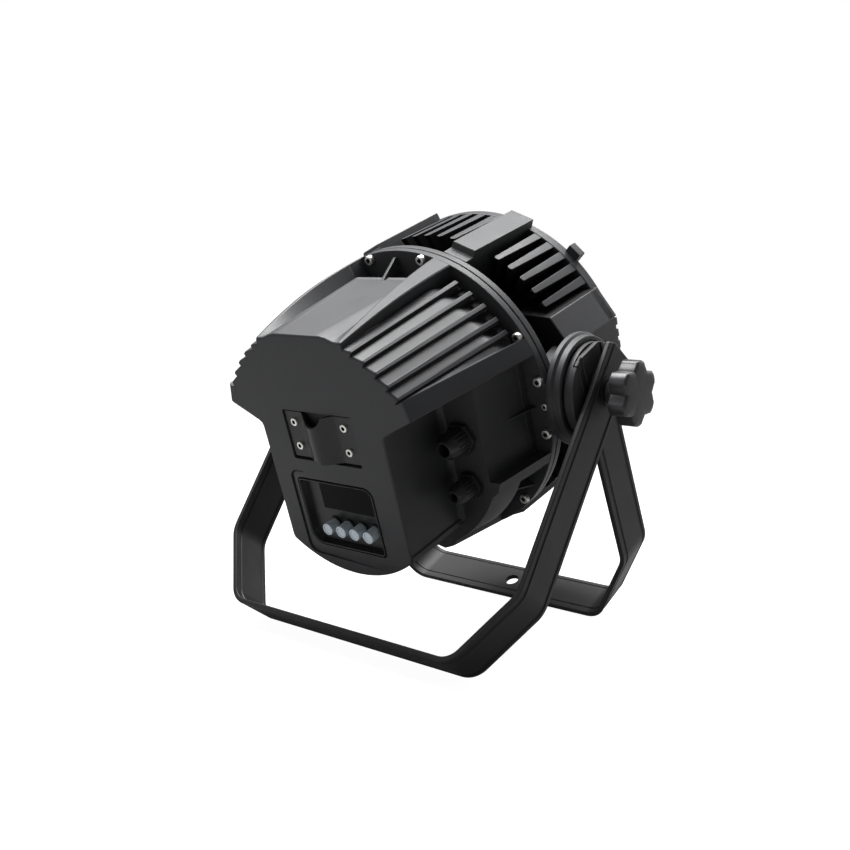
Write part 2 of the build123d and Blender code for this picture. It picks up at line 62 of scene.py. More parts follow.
# ------------------------------------------------------------------ materials
def pbr(name, base, rough, metal=0.0, spec=0.5, coat=0.0, coat_rough=0.1, var=0.12, rvar=0.08,
        grain=1500.0, bump=0.25, dist=0.00012, blotch=22.0, edge=0.0, transmission=0.0, ior=1.5, streak=None):
    m = bpy.data.materials.new(name)
    m.use_nodes = True
    nt = m.node_tree
    nt.nodes.clear()
    N, L = nt.nodes.new, nt.links.new
    out = N("ShaderNodeOutputMaterial")
    b = N("ShaderNodeBsdfPrincipled")
    L(b.outputs[0], out.inputs[0])
    b.inputs["Metallic"].default_value = metal
    b.inputs["Specular IOR Level"].default_value = spec
    b.inputs["IOR"].default_value = ior
    b.inputs["Coat Weight"].default_value = coat
    b.inputs["Coat Roughness"].default_value = coat_rough
    b.inputs["Transmission Weight"].default_value = transmission
    tc = N("ShaderNodeTexCoord")
    mp = N("ShaderNodeMapping")
    L(tc.outputs["Object"], mp.inputs[0])
    if streak:
        mp.inputs["Scale"].default_value = streak
    fine = N("ShaderNodeTexNoise")
    fine.inputs["Scale"].default_value = grain
    fine.inputs["Detail"].default_value = 4
    L(mp.outputs[0], fine.inputs["Vector"])
    big = N("ShaderNodeTexNoise")
    big.inputs["Scale"].default_value = blotch
    big.inputs["Detail"].default_value = 5
    big.inputs["Roughness"].default_value = 0.6
    L(tc.outputs["Object"], big.inputs["Vector"])
    mix = N("ShaderNodeMath"); mix.operation = "MULTIPLY_ADD"
    L(big.outputs[0], mix.inputs[0]); mix.inputs[1].default_value = 0.6
    sc = N("ShaderNodeMath"); sc.operation = "MULTIPLY"
    L(fine.outputs[0], sc.inputs[0]); sc.inputs[1].default_value = 0.4
    L(sc.outputs[0], mix.inputs[2])
    ramp = N("ShaderNodeValToRGB")
    L(mix.outputs[0], ramp.inputs[0])
    lo = [max(0, c * (1 - var)) for c in base]
    hi = [min(1, c * (1 + var)) for c in base]
    ramp.color_ramp.elements[0].position = 0.35
    ramp.color_ramp.elements[0].color = (*lo, 1)
    ramp.color_ramp.elements[1].position = 0.65
    ramp.color_ramp.elements[1].color = (*hi, 1)
    col = ramp.outputs[0]
    if edge > 0:
        geo = N("ShaderNodeNewGeometry")
        er = N("ShaderNodeValToRGB")
        er.color_ramp.elements[0].position = 0.53
        er.color_ramp.elements[0].color = (0, 0, 0, 1)
        er.color_ramp.elements[1].position = 0.62
        er.color_ramp.elements[1].color = (edge, edge, edge, 1)
        L(geo.outputs["Pointiness"], er.inputs[0])
        wear = N("ShaderNodeMixRGB"); wear.blend_type = "MIX"
        L(er.outputs[0], wear.inputs[0]); L(col, wear.inputs[1])
        wear.inputs[2].default_value = (*[min(1, c * 2.6 + 0.02) for c in base], 1)
        col = wear.outputs[0]
    L(col, b.inputs["Base Color"])
    mr = N("ShaderNodeMapRange")
    L(mix.outputs[0], mr.inputs[0])
    mr.inputs[1].default_value = 0.3; mr.inputs[2].default_value = 0.7
    mr.inputs[3].default_value = max(0.02, rough - rvar); mr.inputs[4].default_value = min(1, rough + rvar)
    L(mr.outputs[0], b.inputs["Roughness"])
    if bump > 0:
        bp = N("ShaderNodeBump")
        bp.inputs["Strength"].default_value = bump
        bp.inputs["Distance"].default_value = dist
        L(fine.outputs[0], bp.inputs["Height"])
        L(bp.outputs[0], b.inputs["Normal"])
    return m


M = {
    "housing_black": pbr("cast_black", (0.030, 0.031, 0.034), 0.50, spec=0.45, grain=1700, bump=0.30, dist=0.00014, var=0.16),
    "bar_black": pbr("bar_black", (0.013, 0.013, 0.0145), 0.50, spec=0.38, grain=1900, bump=0.18, dist=0.00010, var=0.15),
    # painted shade: dark metal laid inside the hexagon sockets of the stainless screws
    "socket_dark": pbr("socket_dark", (0.05, 0.048, 0.045), 0.5, metal=0.6, grain=900, bump=0.05, var=0.2),
    "display_frame": pbr("display_frame", (0.010, 0.010, 0.011), 0.36, spec=0.4, grain=1600, bump=0.12, var=0.15),
    # painted shade: a darker copy of the housing paint, laid on the core and fin roots where shade falls between the
    # fins
    "void_black": pbr("painted_shade_black", (0.006, 0.006, 0.007), 0.75, spec=0.15, grain=1500, bump=0.2, var=0.2),
    "stainless": pbr("stainless", (0.90, 0.89, 0.86), 0.42, metal=1.0, grain=900, bump=0.08, var=0.08),
    "knob_grey": pbr("knob_grey", (0.030, 0.030, 0.033), 0.36, spec=0.5, grain=1300, bump=0.25, var=0.12),
    "nylon_black": pbr("nylon_black", (0.014, 0.014, 0.015), 0.38, spec=0.5, grain=1200, bump=0.12, var=0.14),
    "brass": pbr("brass", (0.62, 0.42, 0.16), 0.30, metal=1.0, grain=700, bump=0.08, var=0.08),
    "rubber_black": pbr("rubber_black", (0.010, 0.010, 0.010), 0.75, spec=0.3, grain=1400, bump=0.2, var=0.2),
    "plate_black": pbr("plate_black", (0.008, 0.008, 0.009), 0.45, grain=1000, bump=0.1, var=0.2),
    "led_white": pbr("led_white", (0.80, 0.78, 0.55), 0.35, grain=2500, bump=0.05, var=0.08, coat=0.4),
    "board_white": pbr("board_white", (0.78, 0.78, 0.76), 0.40, grain=800, bump=0.05, var=0.05),
    "board_green": pbr("board_green", (0.02, 0.16, 0.06), 0.35, coat=0.5, grain=900, bump=0.1, var=0.25),
    "display_black": pbr("display_black", (0.0015, 0.0015, 0.002), 0.10, spec=0.06, coat=0.0, coat_rough=0.03, grain=600, bump=0.0, var=0.3, rvar=0.02, blotch=60),
    "button_blue": pbr("button_blue", (0.62, 0.71, 0.77), 0.30, metal=0.25, coat=0.35, coat_rough=0.12, grain=1500, bump=0.05, var=0.10),
    "supply_metal": pbr("supply_metal", (0.62, 0.63, 0.65), 0.35, metal=1.0, grain=500, bump=0.1, var=0.08),
    "bridge_black": pbr("bridge_black", (0.011, 0.011, 0.012), 0.42, spec=0.5, grain=1500, bump=0.2, var=0.18),
    "front_glass": pbr("front_glass", (0.97, 0.985, 0.98), 0.03, transmission=1.0, ior=1.47, grain=200, bump=0.0, var=0.01, rvar=0.01),
    "lens_clear": pbr("lens_clear", (0.96, 0.97, 0.98), 0.05, transmission=0.95, ior=1.49, grain=300, bump=0.0, var=0.02, rvar=0.02),
}
SLOT = {s["node"]: s["material_slot"] for s in frame["record"]["subparts"]}
for n, o in NODES.items():
    o.data.materials.clear()
    o.data.materials.append(M[SLOT[n]])


# ------------------------------------------------------------------ mesh helpers
def finish_mesh(bm, name, mat, body, repl=(), M4=HEAD, angle=32, recalc=True, weighted=True, matfn=None):
    bmesh.ops.remove_doubles(bm, verts=bm.verts, dist=1e-4)
    loose = [v for v in bm.verts if not v.link_faces]
    if loose:
        bmesh.ops.delete(bm, geom=loose, context="VERTS")
    if recalc:
        bmesh.ops.recalc_face_normals(bm, faces=bm.faces)
    if matfn:
        bm.normal_update()
        for f in bm.faces:
            f.material_index = matfn(f)
    bmesh.ops.transform(bm, matrix=M4, verts=bm.verts)
    me = bpy.data.meshes.new(name)
    bm.to_mesh(me)
    bm.free()
    for p in me.polygons:
        p.use_smooth = True
    me.set_sharp_from_angle(angle=radians(angle))
    for k in (mat if isinstance(mat, (list, tuple)) else [mat]):
        me.materials.append(k)
    o = bpy.data.objects.new(name, me)
    bpy.context.scene.collection.objects.link(o)
    if weighted:
        wn = o.modifiers.new("wn", "WEIGHTED_NORMAL")
        wn.keep_sharp = True
        wn.weight = 100
    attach(o, body)
    if repl:
        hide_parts(*repl)
    return o


def add(bm, verts, faces):
    vs = [bm.verts.new(v) for v in verts]
    for f in faces:
        try:
            bm.faces.new([vs[i] for i in f])
        except ValueError:
            pass
    return vs


def merge(bm, other, mat4=None):
    me = bpy.data.meshes.new("tmp")
    other.to_mesh(me)
    other.free()
    if mat4 is not None:
        me.transform(mat4)
    bm.from_mesh(me)
    bpy.data.meshes.remove(me)


def rounded(pts, r=0.6, n=3, closed=True):
    """Outline with rounded corners; a point may carry its own radius."""
    out = []
    K = len(pts)
    for i, p in enumerate(pts):
        P = Vector(p[:2])
        rr = p[2] if len(p) > 2 else r
        if rr <= 0 or (not closed and i in (0, K - 1)):
            out.append((P.x, P.y))
            continue
        u = Vector(pts[i - 1][:2]) - P
        v = Vector(pts[(i + 1) % K][:2]) - P
        lu, lv = u.length, v.length
        u.normalize(); v.normalize()
        ang = u.angle(v)
        if ang > pi - 0.02 or ang < 0.02:
            out.append((P.x, P.y))
            continue
        t = min(rr / tan(ang / 2), 0.47 * min(lu, lv))
        rr = t * tan(ang / 2)
        c = P + (u + v).normalized() * (rr / sin(ang / 2))
        s, e = P + u * t - c, P + v * t - c
        a0, a1 = atan2(s.y, s.x), atan2(e.y, e.x)
        d = (a1 - a0 + pi) % (2 * pi) - pi
        for k in range(n + 1):
            a = a0 + d * k / n
            out.append((c.x + rr * cos(a), c.y + rr * sin(a)))
    return out


def lathe(prof, n=128, axis="y", centre=(0, 0), a0=0.0, a1=2 * pi, bm=None):
    """Closed profile of (radius, along) turned about an axis through centre."""
    bm = bm or bmesh.new()
    full = abs(a1 - a0 - 2 * pi) < 1e-6
    cols = []
    for i in range(n if full else n + 1):
        t = a0 + (a1 - a0) * i / n
        col = []
        for r, a in prof:
            if axis == "y":
                col.append(bm.verts.new((centre[0] + r * sin(t), a, centre[1] + r * cos(t))))
            elif axis == "x":
                col.append(bm.verts.new((a, centre[0] + r * sin(t), centre[1] + r * cos(t))))
            else:
                col.append(bm.verts.new((centre[0] + r * sin(t), centre[1] + r * cos(t), a)))
        cols.append(col)
    m = len(prof)
    for i in range(n):
        A, B = cols[i], cols[(i + 1) % len(cols)]
        for j in range(m):
            k = (j + 1) % m
            try:
                bm.faces.new([A[j], A[k], B[k], B[j]])
            except ValueError:
                pass
    if not full:
        bm.faces.new(cols[0]); bm.faces.new(cols[-1][::-1])
    bmesh.ops.remove_doubles(bm, verts=bm.verts, dist=1e-4)
    return bm


def loft(sections, cap=True, bm=None):
    """Closed sections (lists of 3-D points with one count) joined in order."""
    bm = bm or bmesh.new()
    rows = [[bm.verts.new(p) for p in s] for s in sections]
    for A, B in zip(rows, rows[1:]):
        m = len(A)
        for j in range(m):
            k = (j + 1) % m
            try:
                bm.faces.new([A[j], A[k], B[k], B[j]])
            except ValueError:
                pass
    if cap:
        bm.faces.new(rows[0]); bm.faces.new(rows[-1][::-1])
    return bm


def prism(poly, a, b, to3d, bev=0.6, seg=2, ang=25, bm=None):
    """Outline extruded from a to b, its edges rounded."""
    t = bmesh.new()
    A = [t.verts.new(to3d(p[0], p[1], a)) for p in poly]
    B = [t.verts.new(to3d(p[0], p[1], b)) for p in poly]
    m = len(poly)
    for j in range(m):
        k = (j + 1) % m
        t.faces.new([A[j], A[k], B[k], B[j]])
    t.faces.new(A); t.faces.new(B[::-1])
    bmesh.ops.recalc_face_normals(t, faces=t.faces)
    if bev > 0:
        round_edges(t, bev, seg, ang)
    if bm is not None:
        merge(bm, t)
        return bm
    return t


def round_edges(t, w, seg=2, ang=25):
    t.normal_update()
    es = [e for e in t.edges if len(e.link_faces) == 2 and e.calc_face_angle(0) > radians(ang)]
    bmesh.ops.bevel(t, geom=es, offset=w, offset_type="OFFSET", segments=seg, profile=0.5, affect="EDGES", clamp_overlap=True)


XZ = lambda x, z, y: (x, y, z)
YZ = lambda y, z, x: (x, y, z)


def rot_y(a):
    """Turn about the beam axis, a degrees clockwise seen from behind."""
    return Matrix.Rotation(radians(a), 4, "Y")


def polar(r, a):
    return (r * sin(radians(a)), r * cos(radians(a)))


def sstep(a, b, x):
    t = min(1, max(0, (x - a) / (b - a)))
    return t * t * (3 - 2 * t)


# ------------------------------------------------------------------ yoke brackets
def bracket(name, half, foot_half, bend_s, lean, toward, repl, body, hole=0.0, knee_r=26.0, foot_r=22.0):
    w, t, top = 40.2 / 2, 4.3, 38.0
    foot_s = (H - w * sin(radians(lean))) / cos(radians(lean))
    line = [(-half, -20.0), (-half, bend_s, knee_r), (-foot_half, foot_s, foot_r), (foot_half, foot_s, foot_r), (half, bend_s, knee_r), (half, -20.0)]
    path = rounded(line, 0, 8, closed=False)
    # groove lines run along both faces
    g, gw, gd = 14.4, 1.9, 0.75
    e = 1.1
    sec = []
    for k in range(4):
        a = pi / 2 * k / 3
        sec.append((-w + e - e * cos(a), -e + e * sin(a)))
    for s in (-1, 1):
        for x, d in ((-gw, 0), (-gw + 0.5, -gd), (gw - 0.5, -gd), (gw, 0)):
            sec.append((s * g + x, d))
    for k in range(4):
        a = pi / 2 * k / 3
        sec.append((w - e + e * sin(a), -e + e * cos(a)))
    for k in range(4):
        a = pi / 2 * k / 3
        sec.append((w - e + e * cos(a), -t + e - e * sin(a)))
    for s in (1, -1):
        for x, d in ((gw, 0), (gw - 0.5, gd * 0.8), (-gw + 0.5, gd * 0.8), (-gw, 0)):
            sec.append((s * g + x, -t + d))
    for k in range(4):
        a = pi / 2 * k / 3
        sec.append((-w + e - e * sin(a), -t + e - e * cos(a)))
    rows = []
    P = [Vector(p) for p in path]
    K = len(P)

    def row(p, nrm, ss=None, shrink=0.0):
        out = []
        for a, d in sec:
            d2 = -t / 2 + (d + t / 2) * (1 - shrink)
            a2 = a * (1 - shrink * 0.03)
            u = p.x + nrm.x * d2
            s = p.y + nrm.y * d2 if ss is None else ss(a2)
            out.append((u, a2, -s))
        return out

    for i, p in enumerate(P):
        tan_v = (P[min(i + 1, K - 1)] - P[max(i - 1, 0)]).normalized()
        if 0 < i < K - 1:
            ta = (P[i] - P[i - 1]).normalized(); tb = (P[i + 1] - P[i]).normalized()
            tan_v = (ta + tb).normalized()
            k = 1 / max(0.6, ta.dot(tan_v))
        else:
            k = 1
        nrm = Vector((tan_v.y, -tan_v.x))
        if nrm.dot(Vector((p.x, p.y - 0.35 * foot_s))) < 0:
            nrm = -nrm
        nrm = nrm * k
        arc = lambda inset: (lambda a: -sqrt(max(1, (top - inset) ** 2 - a * a)))
        if i == 0:
            rows.append(row(p, nrm, arc(0.0), 0.55))
            rows.append(row(p, nrm, arc(0.3), 0.2))
            rows.append(row(p, nrm, arc(1.0)))
            rows.append(row(p, nrm))
        elif i == K - 1:
            rows.append(row(p, nrm))
            rows.append(row(p, nrm, arc(1.0)))
            rows.append(row(p, nrm, arc(0.3), 0.2))
            rows.append(row(p, nrm, arc(0.0), 0.55))
        else:
            rows.append(row(p, nrm))
    bm = loft(rows)
    M4 = AXIS @ Matrix.Rotation(radians(toward * lean), 4, "X")
    o = finish_mesh(bm, name, M["bar_black"], body, repl, M4, angle=28)
    if hole:
        cb = lathe([(0, -foot_s - 8), (hole, -foot_s - 8), (hole, -foot_s + 12), (0, -foot_s + 12)], 48, "z")
        cut_with(o, [(cb, M4)])
    return o


def cut_with(o, cutters, mode="DIFFERENCE", angle=32):
    """Boolean with closed cutters, kept as plain mesh."""
    bmc = bmesh.new()
    for cb, m4 in cutters:
        bmesh.ops.recalc_face_normals(cb, faces=cb.faces)
        merge(bmc, cb, m4)
    me = bpy.data.meshes.new("cut")
    bmc.to_mesh(me); bmc.free()
    c = bpy.data.objects.new("cut", me)
    bpy.context.scene.collection.objects.link(c)
    par = o.parent
    o.modifiers.clear()
    md = o.modifiers.new("b", "BOOLEAN")
    md.operation = mode; md.solver = "EXACT"; md.object = c; md.use_self = len(cutters) > 1
    bpy.context.view_layer.update()
    dg = bpy.context.evaluated_depsgraph_get()
    new = bpy.data.meshes.new_from_object(o.evaluated_get(dg))
    o.modifiers.clear()
    wn = o.modifiers.new("wn", "WEIGHTED_NORMAL")
    wn.keep_sharp = True; wn.weight = 100
    old = o.data
    o.data = new
    bpy.data.meshes.remove(old)
    bpy.data.objects.remove(c)
    for p in new.polygons:
        p.use_smooth = True
    new.set_sharp_from_angle(angle=radians(angle))
    return o


bracket("outer_bracket_bar", 154.8, 117.0, 177.6, 32.5, -1, ["outer_bracket"], "stand")
bracket("inner_bracket_bar", 146.9, 105.0, 155.0, 26.7, 1, ["inner_bracket"], "front_leg", hole=6.5)


# ------------------------------------------------------------------ rear housing
RY, FY = -160.0, -36.0


def R(y):
    return 103.5 + 16.7 * (y - RY) / (FY - RY)


def lerp(a, b, y):
    return a + (b - a) * (y - RY) / (FY - RY)


DROPS = [(31.0, 33.0), (38.0, 40.0), (45.0, 47.0), (52.0, 53.8), (58.2, 59.6)]


def top_points(y):
    """Right-hand half of the upper outline at station y, from the top down to the eave."""
    P = []
    zp = 100.5 + (107.0 - 100.5) * (y - RY) / 103.0 if y < -57 else 107.0 - 0.4 * (y + 57) / 21
    pocket = 5.5 * sstep(-51.5, -50.0, y)          # bolt pocket behind the flange
    lip = 0.8 * sstep(-55, -53, y) * (1 - sstep(-52.2, -51.6, y))
    zf = zp - pocket + lip
    xe = lerp(18.0, 33.0, y)
    for x in (0.0, 0.35 * xe, 0.7 * xe, 0.93 * xe, xe):
        P.append((x, zf))
    t = (y - RY) / (FY - RY)
    bulge = 4.2 * sin(pi * min(1.0, max(0.0, t))) ** 0.9
    for f in (0.3, 0.65):
        x0, z0 = polar(lerp(103.6, 113.2, y) , lerp(10.0 + 10.6 * f, 17.0 + 0.4 * f, y))
        P.append((x0, min(z0, zf + 3 * t) - pocket * 0.3 * f))
    x, z = polar(lerp(103.3, 113.4, y), lerp(20.6, 17.4, y))
    P.append((x, z - pocket * 0.6))
    P.append(polar(lerp(104.6, 124.2, y) + bulge, lerp(23.3, 17.7, y)))
    P.append(polar(lerp(105.2, 124.9, y) + bulge, lerp(23.8, 18.3, y)))
    P.append(polar(lerp(105.4, 124.9, y) + bulge, lerp(24.7, 25.0, y)))
    P.append(polar(lerp(104.9, 124.2, y) + bulge, lerp(25.1, 25.5, y)))
    # gap between the ridge and the first fin
    dip = sstep(-66, -43.5, y)
    end = sstep(-42.6, -41.8, y)                    # fins stop short of the flange
    rb = R(y)
    floor_r = rb - 1.6 - 6.5 * dip
    base = 112.6
    P.append(polar(min(lerp(104.0, 113.2, y), base + 99 * (1 - end)) - 2.5 * dip, lerp(25.5, 27.0, y)))
    prev = (lerp(25.9, 27.6, y))
    for i, (a, b) in enumerate(DROPS):
        v = lerp(a, b, y)
        band = lerp(1.9, 2.3, y)
        face0 = rb - 1.5 - (2.6 if i else 0.4) * 0.35 - 7.0 * dip
        crest = rb + 0.35
        if i == 4:
            crest = rb + 0.2
        mid_a = prev + 0.55 * (v - band - prev)
        q0 = face0
        q1 = face0 + 0.55 * (rb - 0.1 - 7.0 * dip - face0)
        q2 = rb - 0.1 - 5.8 * dip
        q3 = crest - 0.25
        q4 = crest
        q5 = crest
        q6 = rb - 3.4
        q7 = rb - 3.4
        f = lambda r: r * (1 - end) + min(r, base) * end
        P += [polar(f(q0), prev), polar(f(q1), mid_a), polar(f(q2), v - band - 0.25), polar(f(q3), v - band),
              polar(f(q4), v - band + 0.3), polar(f(q5), v - 0.55), polar(f(q6), v - 0.35), polar(f(q7), v + 0.05)]
        prev = v + 0.25
    f = lambda r: r * (1 - end) + min(r, base) * end
    # slope down to the eave band
    au = lerp(58.9, 64.0, y)
    P.append(polar(f(rb - 1.2 - 5.0 * dip), prev))
    P.append(polar(f(rb - 0.2 - 4.0 * dip) - 0.0, max(prev + 0.3, au - 0.9)))
    ux, uz = lerp(91.2, 112.2, y), lerp(54.6, 54.8, y)
    P.append((ux - 0.4, uz + 0.7))
    P.append((ux, uz))
    lx, lz = lerp(94.6, 117.4, y), lerp(39.8, 42.0, y)
    P.append((lx, lz + 0.5))
    P.append((lx - 0.4, lz - 0.3))
    return P


NB = 26


def low_points(y, chin):
    """Right-hand half below the eave, down to the bottom."""
    P = []
    rb = R(y)
    if chin:
        fil = 0.0
        if y > -100.0:
            k = min(1.0, (y + 100.0) / 6.0)
            fil = 6.0 * (1 - sqrt(max(0.0, 1 - k * k)))
        xc = 64.0 + fil
        rr = 103.0
        P += [(xc + 14.0, 31.5), (xc + 4.2, 26.4), (xc + 1.0, 24.0), (xc, 20.5)]
        zb = -sqrt(rr * rr - xc * xc)
        for k in range(1, 5):
            P.append((xc + (1.0 if k == 4 else 0.0) * 0, 20.5 + (zb + 2.0 - 20.5) * k / 4))
        a_s = degrees(atan2(xc - 1.0, zb - 0.6)) 
        for k in range(NB):
            a = a_s + (180 - a_s) * k / (NB - 1)
            P.append(polar(rr, a))
        return P
    xs = lerp(92.5, 105.0, y)
    P += [(xs + 2.0, 39.0), (xs + 0.3, 38.6), (xs, 38.0), (xs, 20.0)]
    P += [(xs, 0.0), (xs, -20.0), (xs, -38.2), (xs + 0.4, -39.6)]
    # ledge, then the round lower body with the screw pocket and the lower ridge
    r_l = lerp(106.0, 124.6, y)
    a_s = degrees(atan2(sqrt(max(1.0, r_l * r_l - 1600)), -40.0))
    for k in range(NB):
        f = k / (NB - 1)
        a = a_s + (180 - a_s) * f
        r = rb
        if k == 0:
            r = r_l
        elif k == 1:
            a = a_s + 4.5; r = r_l
        elif k == 2:
            a = a_s + 5.2; r = rb - 0.6
        pk = sstep(-62, -58, y) * sstep(119, 121, a) * (1 - sstep(149, 151, a))
        r = r - 9.0 * pk
        rd = sstep(152.5, 154, a) * (1 - sstep(161, 162.2, a))
        r = r + (lerp(2.0, 4.8, y)) * rd
        bp_ = sstep(-58, -54, y) * sstep(163.5, 165, a)
        r = r - 8.0 * bp_
        P.append(polar(r, a))
    return P


def section(y, chin, inset=0.0):
    half = top_points(y) + low_points(y, chin)
    pts = half[:-1] + [half[-1]]
    left = [(-x, z) for x, z in reversed(half[1:-1])]
    full = pts + left
    if inset:
        full = [(x * (1 - inset / hypot(x, z)), z * (1 - inset / hypot(x, z))) for x, z in full]
    return [(x, y, z) for x, z in full]


ys1 = [-159.85, -159.5, -159.0, -158.4, -150, -135, -120, -108, -102, -100, -98.5, -97, -95.6, -94.6, -94.1]
ins = {-159.85: 1.0, -159.5: 0.45, -159.0: 0.12}
ys2 = [-94.0, -90, -80, -72, -66, -62, -60, -58, -56, -54.5, -53, -52.2, -51.6, -51, -50.4, -49.9, -48, -46, -44.5, -43.5, -42.7, -42.3, -41.9, -41.7, -36.1]
secs = [section(y, True, ins.get(y, 0)) for y in ys1] + [section(y, False) for y in ys2]
bm = bmesh.new()
rows = [[bm.verts.new(p) for p in s] for s in secs]
m = len(rows[0])
for A, B in zip(rows, rows[1:]):
    for j in range(m):
        k = (j + 1) % m
        bm.faces.new([A[j], A[k], B[k], B[j]])
bm.faces.new(rows[-1][::-1])
rear_loop = [(p[0], p[2]) for p in section(RY, True, 1.7)]


def rrect(x0, z0, x1, z1, r, n=4):
    return rounded([(x0, z0), (x1, z0), (x1, z1), (x0, z1)], r, n)


# rear face with its recesses
DISP = (-39.2, -80.2, 39.2, -21.6)
BRG = (-35.2, -2.6, 35.2, 36.9)


GO = rounded([(-30.0, -15.2), (-46.6, -15.2, 8), (-46.6, -90.4, 9), (38.0, -93.6)], 0, 6, closed=False)
GI = rounded([(-30.0, -16.0), (-41.4, -16.4, 4), (-41.4, -84.4, 6), (38.0, -88.4)], 0, 6, closed=False)
DH = rounded([(-40.1, -81.1, 12.5), (40.1, -81.1, 4.5), (40.1, -20.7, 9.0), (-40.1, -20.7, 5.0)], 0, 6)
BH = rrect(BRG[0] - 1.0, BRG[1] - 1.6, BRG[2] + 1.0, BRG[3] + 1.0, 1.5, 3)
holes = [(DH, 6.0), (BH, 4.2), (GO + GI[::-1], 0.0)]
loops = [[Vector((x, z, 0)) for x, z in rear_loop]] + [[Vector((x, z, 0)) for x, z in h] for h, d in holes]
flat = [p for l in loops for p in l]
tris = tessellate_polygon(loops)
fv = [bm.verts.new((p.x, RY, p.y)) for p in flat]
for t3 in tris:
    try:
        bm.faces.new([fv[i] for i in t3])
    except ValueError:
        pass
n0 = len(loops[0])
for j in range(m):
    k = (j + 1) % m
    bm.faces.new([fv[j], fv[k], rows[0][k], rows[0][j]])
off = n0
for h, d in holes[:2]:
    c = len(h)
    ring = fv[off:off + c]
    low = [bm.verts.new((x, RY + d, z)) for x, z in h]
    for j in range(c):
        k = (j + 1) % c
        bm.faces.new([ring[j], ring[k], low[k], low[j]])
    for t3 in tessellate_polygon([[Vector((x, z, 0)) for x, z in h]]):
        try:
            bm.faces.new([low[i] for i in t3])
        except ValueError:
            pass
    off += c
go, gi = fv[off:off + len(GO)], fv[off + len(GO):][::-1]
gl = [bm.verts.new((x, RY + (1.7 if 0 < i < len(GO) - 1 else 0.0), z)) for i, (x, z) in enumerate(GO)]
for j in range(len(GO) - 1):
    bm.faces.new([go[j], go[j + 1], gl[j + 1], gl[j]])
    bm.faces.new([gl[j], gl[j + 1], gi[j + 1], gi[j]])
# centre gusset and rib lines on the body
prism([(FY, 104), (FY, 119.4), (-38.0, 119.4), (-58.5, 106.6), (-58.5, 103)], -1.5, 1.5, YZ, 0.5, 2, 25, bm)
for s in (1, -1):
    # thin gusset to the small screw and the step line ahead of the flange
    prism([(s * 99.0, -66.0), (s * 101.6, -66.0), (s * 112.0, -36.2), (s * 99.0, -36.2)], -2.4, -1.1, lambda x, y, z: (x, y, z), 0.3, 2, 25, bm)
    prism([(-43.5, 38.0), (-36.2, 38.0), (-36.2, -38.0), (-43.5, -38.0)], s * 100.0, s * 105.2, YZ, 0.3, 2, 25, bm)
    # small rib in the lower screw pocket
    t = prism([(-60.0, 100.0), (-60.0, 111.0), (-36.2, 120.0), (-36.2, 100.0)], -1.1, 1.1, YZ, 0.4, 2, 25)
    merge(bm, t, rot_y(s * 127.0))
# lower lip of the chin
for s in (1, -1):
    st = [(-158.6, 64.0, -79.6), (-158.6, 65.4, -77.6), (-95.0, 65.4, -77.6), (-95.0, 64.0, -79.6)]
    t = bmesh.new()
    prof_ = [(62.0, -75.0), (63.9, -75.0), (65.2, -76.6), (65.2, -80.4), (62.0, -82.6)]
    A_ = [t.verts.new((s * x, -158.2, z)) for x, z in prof_]; B_ = [t.verts.new((s * x, -94.5, z)) for x, z in prof_]
    for j in range(5):
        k = (j + 1) % 5
        t.faces.new([A_[j], A_[k], B_[k], B_[j]])
    t.faces.new(A_); t.faces.new(B_[::-1])
    merge(bm, t)
# flange ring
lathe(rounded([(100, -36.2), (124.9, -36.2, 0.9), (124.9, -29.8, 0.5), (100, -29.8)], 0, 3), 192, bm=bm)
rear = finish_mesh(bm, "rear_shell", M["housing_black"], "head", ["rear_housing"], angle=24)

# ------------------------------------------------------------------ front housing
bm = bmesh.new()
lathe(rounded([(100, -28.6), (124.9, -28.6, 0.5), (124.9, -22.2, 0.9), (100, -22.0)], 0, 3), 192, bm=bm)
lathe([(84, -22.4), (88, -22.4), (88, 24), (109, 34.5), (109, 66), (100.5, 66), (100.5, 40), (84, 30)], 144, bm=bm)
lathe(rounded([(104, 65.6), (125.2, 65.6, 0.8), (125.2, 71.9, 0.5), (104, 71.9)], 0, 3), 192, bm=bm)


def fin_pt(x, y, r):
    u = max(0.0, (124.7 - r) / 44.7)
    yy = y + u * 15.0 * (66.4 - y) / 62.0
    return (x * (1 - 0.25 * u), yy, r + u * (7.0 + 15.0 * (yy - 19.5) / 46.9))


for centre in (0, 45, 135, 180, 225, 315):
    for k in range(-2, 3):
        a = centre + k * 6.15
        plan = rounded([(-2.4, 4.5, 2.0), (2.4, 4.5, 2.0), (3.7, 66.4, 0), (-3.7, 66.4, 0)], 0, 5)
        t = prism(plan, 80.0, 124.7, fin_pt, 0.5, 2, 40)
        merge(bm, t, rot_y(a))
for centre in (22.9, 157.1, 202.9, 337.6):
    dr = 2.6 if centre == 337.6 else 0.6
    st = [(-22.4, 86, 9.5), (-22.4, 125.0, 11.0), (-12.8, 125.3, 11.0), (-11.6, 130.4 - dr, 10.8), (-11.1, 131.2 - dr, 10.4), (71.9, 131.7 - dr * 0.3, 11.0), (71.9, 102, 11.0)]
    t = bmesh.new()
    A = [t.verts.new((-w_, y, r)) for y, r, w_ in st]
    B = [t.verts.new((w_, y, r)) for y, r, w_ in st]
    for j in range(7):
        k = (j + 1) % 7
        t.faces.new([A[j], A[k], B[k], B[j]])
    t.faces.new(A); t.faces.new(B[::-1])
    bmesh.ops.recalc_face_normals(t, faces=t.faces)
    round_edges(t, 0.45, 2, 15)
    merge(bm, t, rot_y(centre))
